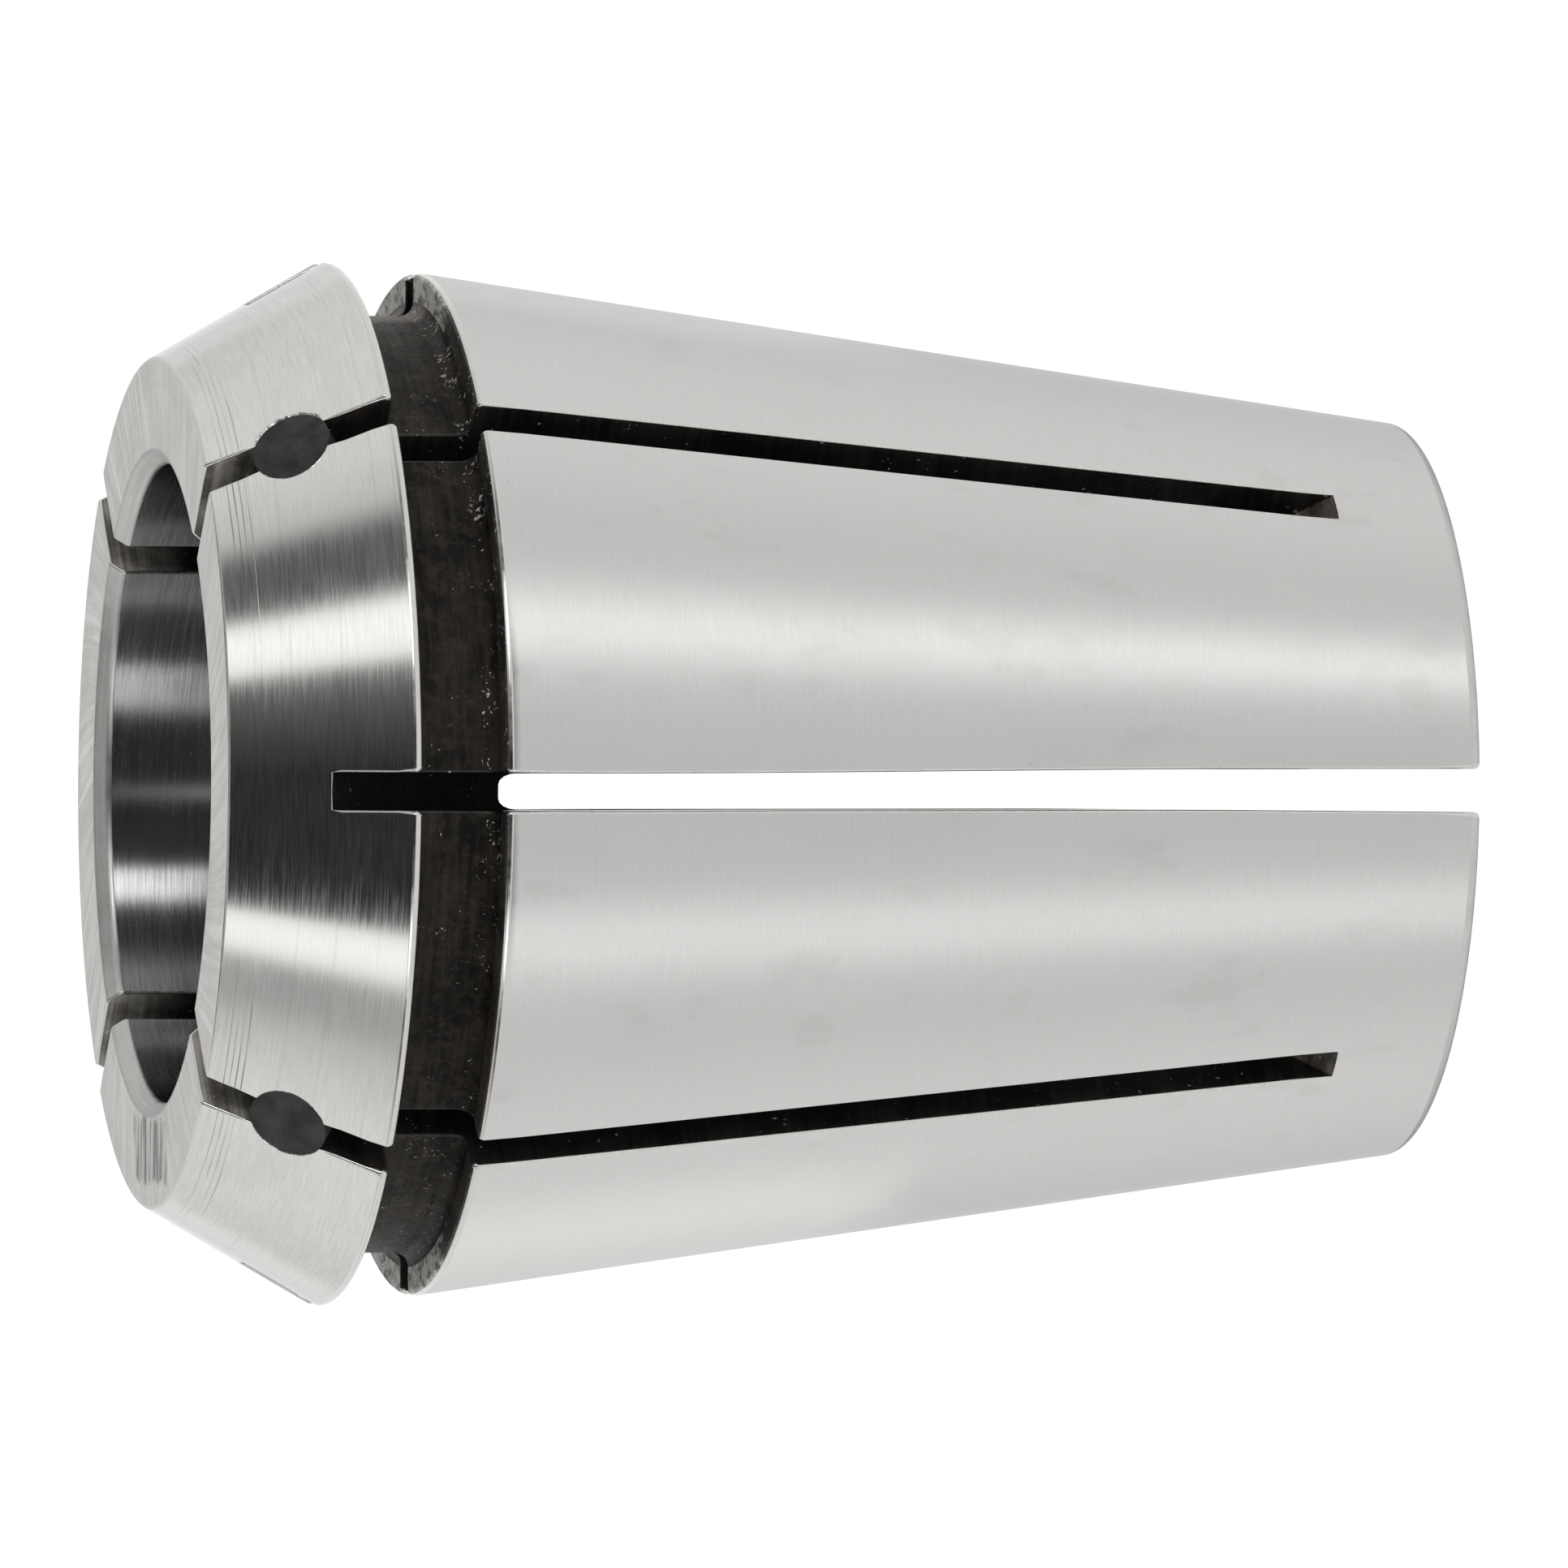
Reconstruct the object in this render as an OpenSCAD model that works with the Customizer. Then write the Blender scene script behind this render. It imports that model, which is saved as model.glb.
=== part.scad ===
// Slotted spring collet for a 20 mm shank, with an 8 degree seating taper, a
// 30 degree nose cone, an extraction groove and eight saw slots that are cut
// alternately from the front and from the rear. Four small rubber plugs close
// the front slots where they cross the nose cone.
//
// Frame: the collet stands on its small rear face. The origin is the centre of
// that face, +Z runs along the axis to the nose. Rear-open slots lie on the X
// and Y axes, front-open slots lie half way between them. Units are mm.

/* [Overall] */
// Overall length, from the rear face to the front face
length = 40; // [38:0.5:44]
// Radius of the rounded outer edge at the rear face
rear_edge_r = 0.4; // [0.1:0.05:0.6]

/* [Bore] */
// Diameter of the clamping bore
bore_d = 20; // [12:0.5:20]
// Chamfer at each end of the bore
bore_chamfer = 0.4; // [0.1:0.05:0.6]

/* [Nose cone] */
// Diameter of the flat front face where the nose cone starts
front_d = 26.65; // [25.5:0.05:28]
// Largest diameter of the nose cone, to its sharp corner
cone_d = 33; // [32:0.1:34]
// Half angle of the nose cone, on which the clamping nut presses
cone_half_angle = 30; // [28:1:34]
// Rounding of the front outer edge
front_edge_r = 0.15; // [0.05:0.05:0.4]
// Rounding of the rear edge of the nose cone
cone_edge_r = 0.2; // [0.1:0.05:0.5]

/* [Extraction groove] */
// Diameter at the bottom of the groove
groove_d = 29.4; // [28:0.1:30.5]
// Width of the groove along the axis
groove_w = 2.65; // [2:0.05:3.5]
// Corner radius at the front of the groove bottom
groove_front_r = 0.15; // [0.05:0.05:0.3]
// Corner radius at the rear of the groove bottom
groove_rear_r = 0.45; // [0.1:0.05:0.6]

/* [Seating taper] */
// Diameter of the taper at its front edge, to the sharp corner
taper_d = 32.16; // [31:0.02:33]
// Half angle of the taper
taper_half_angle = 8; // [7.5:0.1:8.5]
// Rounding of the front edge of the taper
taper_edge_r = 0.2; // [0.1:0.05:0.4]

/* [Slots] */
// Width of the slots that are open at the front
front_slot_w = 1.1; // [0.8:0.05:1.4]
// Distance from the front face to the closed end of a front slot, on the taper
front_slot_len = 36.1; // [33:0.1:37]
// Width of the slots that are open at the rear
rear_slot_w = 1.15; // [0.8:0.05:1.4]
// Width of a rear slot at the rear face, where the fingers are spread a little
rear_slot_mouth_w = 1.34; // [1.2:0.02:1.6]
// Distance from the front face to the closed end of a rear slot, on the cone
rear_slot_start = 2.9; // [2.5:0.1:4]
// Radius of the saw that cuts the slots, which leaves each closed end curved
saw_r = 31.5; // [25:0.5:40]
// How far the saw reaches into the bore, past the bore wall
saw_overreach = 4.7; // [3:0.1:5]

/* [Seal plugs] */
// Diameter of a seal plug and of its hole
plug_d = 2.5; // [1.5:0.1:3]
// Distance from the front face to the centre of a plug, on the cone
plug_z = 2.45; // [2:0.05:3.2]
// Gap between the inner end of a plug and the bore
plug_inset = 0.5; // [0.2:0.1:1.5]

/* [Hidden] */

steel = [0.77, 0.77, 0.76];
rubber = [0.23, 0.23, 0.24];

bore_r = bore_d / 2;
cone_len = (cone_d - front_d) / 2 / tan(cone_half_angle);
z_cone = length - cone_len;                 // rear edge of the nose cone
z_taper = z_cone - groove_w;                // front edge of the taper
rear_r = taper_d / 2 - z_taper * tan(taper_half_angle);

saw_low = bore_r - saw_overreach;           // smallest radius that the saw reaches
saw_axis_r = saw_low + saw_r;               // distance of the saw's axis from the collet's
far = cone_d / 2 + 4;                       // past every outer surface

// radius of the cone surface at a distance z from the front face
function cone_r_at(z) = front_d / 2 + z * tan(cone_half_angle);
// radius of the taper surface at a distance z from the front face
function taper_r_at(z) = taper_d / 2 - (z - (length - z_taper)) * tan(taper_half_angle);
// run-out of the saw along the axis, from its deepest line to the radius r
function saw_run(r) = sqrt(saw_r * saw_r - pow(saw_axis_r - r, 2));

// height of the saw's axis for the two kinds of slot
z_front_saw = length - front_slot_len + saw_run(taper_r_at(front_slot_len));
z_rear_saw = length - rear_slot_start - saw_run(cone_r_at(rear_slot_start));
// a rear slot starts to spread where the saw is already well inside the bore
z_spread = z_rear_saw + 9;

// rounding of a corner p1 between p0 and p2 with radius r, as n straight steps
function unit(v) = v / norm(v);
function corner(p0, p1, p2, r, n) =
    let (a = unit(p0 - p1), b = unit(p2 - p1), half = acos(a * b) / 2,
         c = p1 + unit(a + b) * r / sin(half),
         s = p1 + a * r / tan(half) - c, e = p1 + b * r / tan(half) - c,
         a0 = atan2(s[1], s[0]), turn = (atan2(e[1], e[0]) - a0 + 540) % 360 - 180)
    r <= 0 ? [p1] : [for (i = [0:n]) c + r * [cos(a0 + turn * i / n), sin(a0 + turn * i / n)]];

// half section: [radius, height, corner rounding, steps]
section = [
    [bore_r + bore_chamfer, length, 0, 0],
    [front_d / 2, length, front_edge_r, 2],
    [cone_d / 2, z_cone, cone_edge_r, 4],
    [groove_d / 2, z_cone, groove_front_r, 2],
    [groove_d / 2, z_taper, groove_rear_r, 3],
    [taper_d / 2, z_taper, taper_edge_r, 3],
    [rear_r, 0, rear_edge_r, 3],
    [bore_r + bore_chamfer, 0, 0, 0],
    [bore_r, bore_chamfer, 0, 0],
    [bore_r, length - bore_chamfer, 0, 0]
];
n_sec = len(section);
outline = [for (i = [0:n_sec - 1])
    let (p0 = section[(i + n_sec - 1) % n_sec], p1 = section[i], p2 = section[(i + 1) % n_sec])
    for (q = corner([p0[0], p0[1]], [p1[0], p1[1]], [p2[0], p2[1]], p1[2], p1[3])) q];

// the turned blank, before the slots
module blank() {
    rotate_extrude($fn = 180) polygon(outline);
}

// the round run-out of the saw, in the plane of one slot along +X
module saw_disc(w, z) {
    translate([saw_axis_r, 0, z]) rotate([90, 0, 0]) cylinder(r = saw_r, h = w, center = true, $fn = 180);
}

// one slot that is open at the front face
module front_slot() {
    saw_disc(front_slot_w, z_front_saw);
    translate([saw_low, -front_slot_w / 2, z_front_saw]) cube([far - saw_low, front_slot_w, length - z_front_saw + 1]);
}

// one slot that is open at the rear face, a little wider at its mouth
module rear_slot() {
    saw_disc(rear_slot_w, z_rear_saw);
    translate([saw_low, 0, 0]) rotate([90, 0, 90]) linear_extrude(far - saw_low)
        polygon([
            [-rear_slot_mouth_w / 2, 0], [-rear_slot_mouth_w / 2, -1], [rear_slot_mouth_w / 2, -1],
            [rear_slot_mouth_w / 2, 0], [rear_slot_w / 2, z_spread], [rear_slot_w / 2, z_rear_saw + 12],
            [-rear_slot_w / 2, z_rear_saw + 12], [-rear_slot_w / 2, z_spread]]);
}

// a round pin through the wall at right angles to the cone, along +X
module cone_pin(inner, outer) {
    translate([cone_r_at(plug_z), 0, length - plug_z]) rotate([0, 90 - cone_half_angle, 0])
        translate([0, 0, -inner]) cylinder(d = plug_d, h = inner + outer, $fn = 64);
}

module collet_body() {
    color(steel)
    difference() {
        blank();
        for (a = [0:90:270]) rotate([0, 0, a]) rear_slot();
        for (a = [45:90:315]) rotate([0, 0, a]) {
            front_slot();
            cone_pin(9, 3);
        }
    }
}

// a plug is flush with the cone outside and stops short of the bore inside
module seal_plug(angle) {
    color(rubber)
    rotate([0, 0, angle])
    intersection() {
        cone_pin(9, 3);
        difference() {
            translate([0, 0, z_cone - 4]) cylinder(r1 = cone_r_at(cone_len + 4), r2 = front_d / 2, h = cone_len + 4, $fn = 180);
            translate([0, 0, z_cone - 5]) cylinder(r = bore_r + plug_inset, h = cone_len + 6, $fn = 180);
        }
    }
}

module seal_plug_1() { seal_plug(-45); }
module seal_plug_2() { seal_plug(-135); }
module seal_plug_3() { seal_plug(45); }
module seal_plug_4() { seal_plug(135); }

collet_body();
seal_plug_1();
seal_plug_2();
seal_plug_3();
seal_plug_4();
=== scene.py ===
import math

import bpy
import numpy as np
from mathutils import Matrix, Vector
from mathutils.geometry import tessellate_polygon


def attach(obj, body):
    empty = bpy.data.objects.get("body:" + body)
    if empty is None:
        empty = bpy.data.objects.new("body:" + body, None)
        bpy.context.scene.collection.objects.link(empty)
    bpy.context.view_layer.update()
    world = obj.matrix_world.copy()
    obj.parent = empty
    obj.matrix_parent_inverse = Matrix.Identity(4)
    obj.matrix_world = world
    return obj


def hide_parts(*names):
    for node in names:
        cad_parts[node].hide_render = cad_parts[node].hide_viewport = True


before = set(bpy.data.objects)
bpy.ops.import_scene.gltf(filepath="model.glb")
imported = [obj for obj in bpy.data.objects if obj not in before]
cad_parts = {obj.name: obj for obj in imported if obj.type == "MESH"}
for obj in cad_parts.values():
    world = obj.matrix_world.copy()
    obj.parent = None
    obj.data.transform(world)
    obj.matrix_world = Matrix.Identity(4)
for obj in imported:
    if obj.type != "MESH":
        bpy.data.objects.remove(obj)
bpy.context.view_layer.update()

S = bpy.context.scene
S.view_settings.view_transform = "Standard"
S.view_settings.look = "None"
S.view_settings.exposure = 0.0
S.view_settings.gamma = 1.0

# ---------------------------------------------------------------- dimensions
# The same sizes as the construction has, in mm, in the row frame.
L = 40.0
BORE = 10.0
CH = 0.4
FRONT = 13.325
CONE = 16.5
A30 = math.radians(30)
A8 = math.radians(8)
CONE_LEN = (CONE - FRONT) / math.tan(A30)
Z_CONE = L - CONE_LEN
GROOVE = 14.7
Z_TAPER = Z_CONE - 2.65
TAPER = 16.08
REAR = TAPER - Z_TAPER * math.tan(A8)
W_F = 1.1            # slots open at the front
W_R = 1.15           # slots open at the rear
W_MOUTH = 1.34
SAW = 31.5
SAW_AXIS = BORE - 4.7 + SAW
PLUG_R = 1.25
PLUG_Z = 2.45        # centre of a plug, from the front face


def cone_r(z):       # z from the front face
    return FRONT + z * math.tan(A30)


def taper_r(zu):     # zu from the rear face
    return TAPER - (Z_TAPER - zu) * math.tan(A8)


def saw_run(r, saw=SAW):
    return math.sqrt(saw * saw - (SAW_AXIS - r) ** 2)


Z_FSAW = L - 36.1 + saw_run(taper_r(L - 36.1))     # saw axis, front slots
Z_RSAW = L - 2.9 - saw_run(cone_r(2.9))            # saw axis, rear slots
Z_SPREAD = Z_RSAW + 9.0


def solve(f, lo, hi):
    for _ in range(60):
        mid = (lo + hi) / 2
        if (f(lo) > 0) == (f(mid) > 0):
            lo = mid
        else:
            hi = mid
    return (lo + hi) / 2


# ------------------------------------------------------------ half section
# Corners (radius, height, rounding, steps of the rounding) and the surface
# that starts at each corner.
CORNERS = [
    (BORE + CH, L, 0.20, 4, "front", "front_chamfer"),
    (FRONT, L, 0.15, 4, "cone", "front_edge"),
    (CONE, Z_CONE, 0.20, 8, "groove_front", "cone_edge"),
    (GROOVE, Z_CONE, 0.15, 3, "groove", "groove_corner"),
    (GROOVE, Z_TAPER, 0.45, 6, "groove_rear", "groove_corner"),
    (TAPER, Z_TAPER, 0.20, 8, "taper", "taper_edge"),
    (REAR, 0.0, 0.40, 8, "rear", "rear_edge"),
    (BORE + CH, 0.0, 0.07, 3, "rear_chamfer", "rear_corner"),
    (BORE, CH, 0.10, 3, "bore", "rear_chamfer"),
    (BORE, L - CH, 0.30, 4, "front_chamfer", "front_chamfer"),
]

# circle of the plug's hole: generators of a cylinder at right angles to the
# cone, on one side of a front slot, from the front (-) to the rear (+)
HOLE_N = 18
HOLE_A0 = math.acos((W_F / 2) / PLUG_R)
HOLE_A = [HOLE_A0 * math.sin(math.pi / 2 * (2 * i / HOLE_N - 1)) for i in range(HOLE_N + 1)]
HR0, HZ0 = cone_r(PLUG_Z), L - PLUG_Z
C30, S30 = math.cos(A30), math.sin(A30)


def hole_point(a, d, rad=PLUG_R):
    """radial, tangential and height coordinates on the plug's cylinder"""
    return (HR0 + rad * math.sin(a) * S30 + d * C30, rad * math.cos(a), HZ0 - rad * math.sin(a) * C30 + d * S30)


def hole_depth(a, surface, rad=PLUG_R):
    def g(d):
        x, t, z = hole_point(a, d, rad)
        r = math.hypot(x, t)
        return r - (cone_r(L - z) if surface == "cone" else surface)
    return solve(g, -1.0, 1.0) if surface == "cone" else solve(g, -9.0, -1.0)


def ease(x):
    x = min(1.0, max(0.0, x))
    return x * x * (3 - 2 * x)


# the bottom of each cut is the saw's round run-out, and its corners are
# rounded more and more towards the bore
D_R = 0.34


def cut_bottom(is_f, s, t):
    """a point of the cut's bottom and its normal, in the slot's own frame: s runs from the outer surface (0) to the bore (1), t across"""
    half = (W_F if is_f else W_R) / 2
    z_saw, up = (Z_FSAW, -1) if is_f else (Z_RSAW, 1)
    grow = D_R * ease((s - 0.35) / 0.65)
    inset = 0.0
    if grow > 1e-6 and t > half - grow:
        inset = grow - math.sqrt(max(0.0, grow * grow - (t - (half - grow)) ** 2))
    saw = SAW - inset

    def z_of(x):
        return z_saw + up * math.sqrt(saw * saw - (SAW_AXIS - x) ** 2)

    def miss(x):
        return math.hypot(x, t) - (taper_r(z_of(x)) if is_f else cone_r(L - z_of(x)))
    x_out, x_in = solve(miss, BORE, CONE + 1), math.sqrt(BORE * BORE - t * t)
    x = x_out + (x_in - x_out) * s
    zz = z_of(x)
    nor = np.array([SAW_AXIS - x, 0.0, z_saw - zz])
    return (x, t, zz), tuple(nor / np.linalg.norm(nor))


# closed ends of the slots, at the sides and in the middle
Z_FO, Z_RO = cut_bottom(True, 0, W_F / 2)[0][2], cut_bottom(False, 0, W_R / 2)[0][2]
Z_FI, Z_RI = cut_bottom(True, 1, W_F / 2)[0][2], cut_bottom(False, 1, W_R / 2)[0][2]
Z_FI_MID, Z_RI_MID = cut_bottom(True, 1, 0)[0][2], cut_bottom(False, 1, 0)[0][2]

# the rear slots end at a height that the plug's hole covers as well
for z_row in (Z_RO - 0.12, Z_RO, Z_RO + 0.12):
    HOLE_A.append(solve(lambda a: hole_point(a, hole_depth(a, "cone"))[2] - z_row, -HOLE_A0, HOLE_A0))
HOLE_A.sort()
hole_out = [hole_point(a, hole_depth(a, "cone")) for a in HOLE_A]
hole_in = [hole_point(a, hole_depth(a, BORE)) for a in HOLE_A]

need = {
    "cone": [p[2] for p in hole_out],
    "taper": [Z_FO, Z_FO - 0.12, Z_FO + 0.12],
    "bore": [p[2] for p in hole_in] + [Z_FI, Z_FI + 0.2, Z_FI_MID - 0.05, Z_RI, Z_RI - 0.2, Z_RI_MID + 0.05],
}
step = {"front": 0.6, "cone": 0.5, "groove_front": 0.4, "groove": 0.35, "groove_rear": 0.3, "taper": 1.2,
        "rear": 0.4, "rear_chamfer": 0.3, "bore": 1.3, "front_chamfer": 0.3}


def corner_arc(p0, p1, p2, rad, n):
    a, b = (p0 - p1) / np.linalg.norm(p0 - p1), (p2 - p1) / np.linalg.norm(p2 - p1)
    half = math.acos(float(a @ b)) / 2
    c = p1 + (a + b) / np.linalg.norm(a + b) * rad / math.sin(half)
    s, e = p1 + a * rad / math.tan(half) - c, p1 + b * rad / math.tan(half) - c
    a0 = math.atan2(s[1], s[0])
    turn = (math.degrees(math.atan2(e[1], e[0]) - a0) + 540) % 360 - 180
    out = []
    cross = a[0] * b[1] - a[1] * b[0]
    sign = 1.0 if cross > 0 else -1.0
    for i in range(n + 1):
        t = a0 + math.radians(turn) * i / n
        d = np.array([math.cos(t), math.sin(t)])
        out.append((c + rad * d, d * sign))
    return out


rows, spans = [], []      # rows: (r, z); spans: (tag, normal at its start, normal at its end)
n_c = len(CORNERS)
arcs = []
for i, (r, z, rad, n, after, tag) in enumerate(CORNERS):
    p = [np.array(CORNERS[k % n_c][:2], float) for k in (i - 1, i, i + 1)]
    arcs.append(corner_arc(p[0], p[1], p[2], rad, n))
# the loop runs so that the solid is on its right; outward normals are on its left
for i in range(n_c):
    arc, nxt = arcs[i], arcs[(i + 1) % n_c]
    a, b = arc[-1][0], nxt[0][0]
    d = (b - a) / np.linalg.norm(b - a)
    out = np.array([-d[1], d[0]])
    # arc normals point away from the solid, whichever way the corner turns
    if arc[-1][1] @ out < 0:
        arc = [(q, -m) for q, m in arc]
        arcs[i] = arc
    for k in range(len(arc) - 1):
        rows.append(arc[k][0])
        spans.append((CORNERS[i][5], arc[k][1], arc[k + 1][1]))
    tag = CORNERS[i][4]
    length = float(np.linalg.norm(b - a))
    must = sorted(float((z - a[1]) / d[1]) for z in need.get(tag, []))
    must = [t for i2, t in enumerate(must) if 0.0 < t < length and (i2 == 0 or t - must[i2 - 1] > 1e-9)]
    grid = [length * k / max(1, round(length / step[tag])) for k in range(max(1, round(length / step[tag])) + 1)]
    free = [t for t in grid[1:-1] if all(abs(t - m) > 0.16 for m in must)]
    if tag == "bore":
        free = [t for t in free if not any(lo - 0.1 < a[1] + d[1] * t < hi + 0.1 for lo, hi in ((Z_FI_MID, Z_FI), (Z_RI, Z_RI_MID)))]
    ts = [0.0] + sorted(free + must)
    for t in ts:
        rows.append(a + d * t)
        spans.append((tag, out, out))
rows = np.array(rows)
N = len(rows)
R, Z = rows[:, 0], rows[:, 1]
seg = np.linalg.norm(np.roll(rows, -1, 0) - rows, axis=1)
ARC = np.concatenate([[0], np.cumsum(seg)])[:-1]
TOTAL = seg.sum()


def row_at(tag, z):
    best = [j for j in range(N) if (spans[j][0] == tag or spans[j - 1][0] == tag) and abs(Z[j] - z) < 1e-7]
    assert len(best) == 1, (tag, z, best)
    return best[0]


# normal used to set a point a little below the surface, at each row
row_n = np.array([(spans[j][1] + spans[j - 1][2]) for j in range(N)])
row_n /= np.linalg.norm(row_n, axis=1)[:, None]

j_fo, j_fi = row_at("taper", Z_FO), row_at("bore", Z_FI)
j_ro, j_ri = row_at("cone", Z_RO), row_at("bore", Z_RI)
j_ho = [row_at("cone", p[2]) for p in hole_out]
j_hi = [row_at("bore", p[2]) for p in hole_in]


def cyc(a, b):
    """rows from a to b along the loop, both included"""
    out = [a]
    while out[-1] != b:
        out.append((out[-1] + 1) % N)
    return out


open_f, shut_f = cyc(j_fi, j_fo), cyc(j_fo, j_fi)
open_r, shut_r = cyc(j_ro, j_ri), cyc(j_ri, j_ro)


def dist_along(j, k):
    d = abs(ARC[j] - ARC[k])
    return min(d, TOTAL - d)


# half width of each opening, and the size of its rounded edge, at each row
H_F, H_R, E_F, E_R = np.full(N, W_F / 2), np.full(N, W_R / 2), np.zeros(N), np.zeros(N)
for j in range(N):
    if Z[j] < Z_SPREAD:
        H_R[j] = W_R / 2 + (W_MOUTH - W_R) / 2 * (Z_SPREAD - Z[j]) / Z_SPREAD
k_ce = [j for j in range(N) if spans[j][0] == "cone_edge"]
k_te = [j for j in range(N) if spans[j][0] == "taper_edge"]
k_re = [j for j in range(N) if spans[j][0] == "rear_edge"]
k_fe = [j for j in range(N) if spans[j][0] == "front_edge"]
for j in range(N):
    base = 0.075
    base += 0.11 * ease(1 - dist_along(j, k_ce[len(k_ce) // 2]) / 0.50)
    base += 0.06 * ease(1 - dist_along(j, k_te[len(k_te) // 2]) / 0.45)
    base += 0.10 * ease(1 - dist_along(j, k_re[len(k_re) // 2]) / 0.7)
    base += 0.03 * ease(1 - dist_along(j, k_fe[len(k_fe) // 2]) / 0.5)
    E_F[j] = base * ease(dist_along(j, j_fo) / 0.3) * ease(dist_along(j, j_fi) / 0.3)
    E_R[j] = base * ease(dist_along(j, j_ro) / 0.3) * ease(dist_along(j, j_ri) / 0.3)
    near_hole = min(min(dist_along(j, k) for k in j_ho), min(dist_along(j, k) for k in j_hi))
    E_F[j] *= ease(near_hole / 0.2)
for k, p in zip(j_ho, hole_out):
    H_F[k], E_F[k] = p[1], 0.0
for k, p in zip(j_hi, hole_in):
    H_F[k], E_F[k] = p[1], 0.0
for j in shut_f:
    H_F[j], E_F[j] = W_F / 2, 0.0
for j in shut_r:
    H_R[j], E_R[j] = W_R / 2, 0.0

# ----------------------------------------------------------------- the mesh
MATS = ["taper", "cone", "face", "bore", "edge", "groove", "shoulder", "slot", "chamfer", "rim", "runout", "heel", "pit"]
MAT_OF = {"front": "face", "front_chamfer": "chamfer", "front_edge": "edge", "cone": "cone", "cone_edge": "rim",
          "groove_front": "groove", "groove_corner": "groove", "groove": "groove", "groove_rear": "shoulder",
          "taper_edge": "rim", "taper": "taper", "rear_edge": "heel", "rear": "face", "rear_corner": "edge",
          "rear_chamfer": "chamfer", "bore": "bore"}

V, NRM, F, FM = [], [], [], []     # loose corners: every face has its own points and normals


def face(points, normals, mat):
    base = len(V)
    V.extend(points)
    NRM.extend(normals)
    F.append(tuple(range(base, base + len(points))))
    FM.append(MATS.index(mat))


Q45 = math.pi / 4


def turn(p, frame_f):
    """from a slot's own frame (radial, tangential towards the lobe, height) to the sector"""
    if not frame_f:
        return (p[0], p[1], p[2])
    c = math.cos(Q45)
    return (p[0] * c + p[1] * c, p[0] * c - p[1] * c, p[2])


def quad(a, b, c, d, na, nb, nc, nd, mat):
    pts, nn = [a, b, c, d], [na, nb, nc, nd]
    keep = [i for i in range(4) if all(np.linalg.norm(np.subtract(pts[i], pts[k])) > 1e-7 for k in range(i))]
    pts, nn = [pts[i] for i in keep], [nn[i] for i in keep]
    if len(pts) < 3:
        return
    g = np.zeros(3)
    for i in range(1, len(pts) - 1):
        g += np.cross(np.subtract(pts[i], pts[0]), np.subtract(pts[i + 1], pts[0]))
    if g @ np.sum(nn, axis=0) < 0:
        pts.reverse()
        nn.reverse()
    face(pts, nn, mat)


# lobe between the rear slot at 0 degrees and the front slot at 45 degrees
NPHI = 34
for j in range(N):
    k = (j + 1) % N
    tag, n0, n1 = spans[j]
    if tag == "taper_edge" and j < k_te[len(k_te) // 2]:
        tag = "groove_rear"      # the scale reaches halfway round this edge
    lo = [math.asin((H_R[i] + E_R[i]) / R[i]) for i in (j, k)]
    hi = [Q45 - math.asin((H_F[i] + E_F[i]) / R[i]) for i in (j, k)]
    for c in range(NPHI):
        pts, nn = [], []
        for (row, side, nor, cc) in ((j, 0, n0, c), (k, 1, n1, c), (k, 1, n1, c + 1), (j, 0, n0, c + 1)):
            a = lo[side] + (hi[side] - lo[side]) * cc / NPHI
            pts.append((R[row] * math.cos(a), R[row] * math.sin(a), Z[row]))
            nn.append((nor[0] * math.cos(a), nor[0] * math.sin(a), nor[1]))
        quad(*pts, *nn, MAT_OF[tag])

NB = 5      # steps across half a slot
NE = 3      # steps of a rounded slot edge


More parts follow.
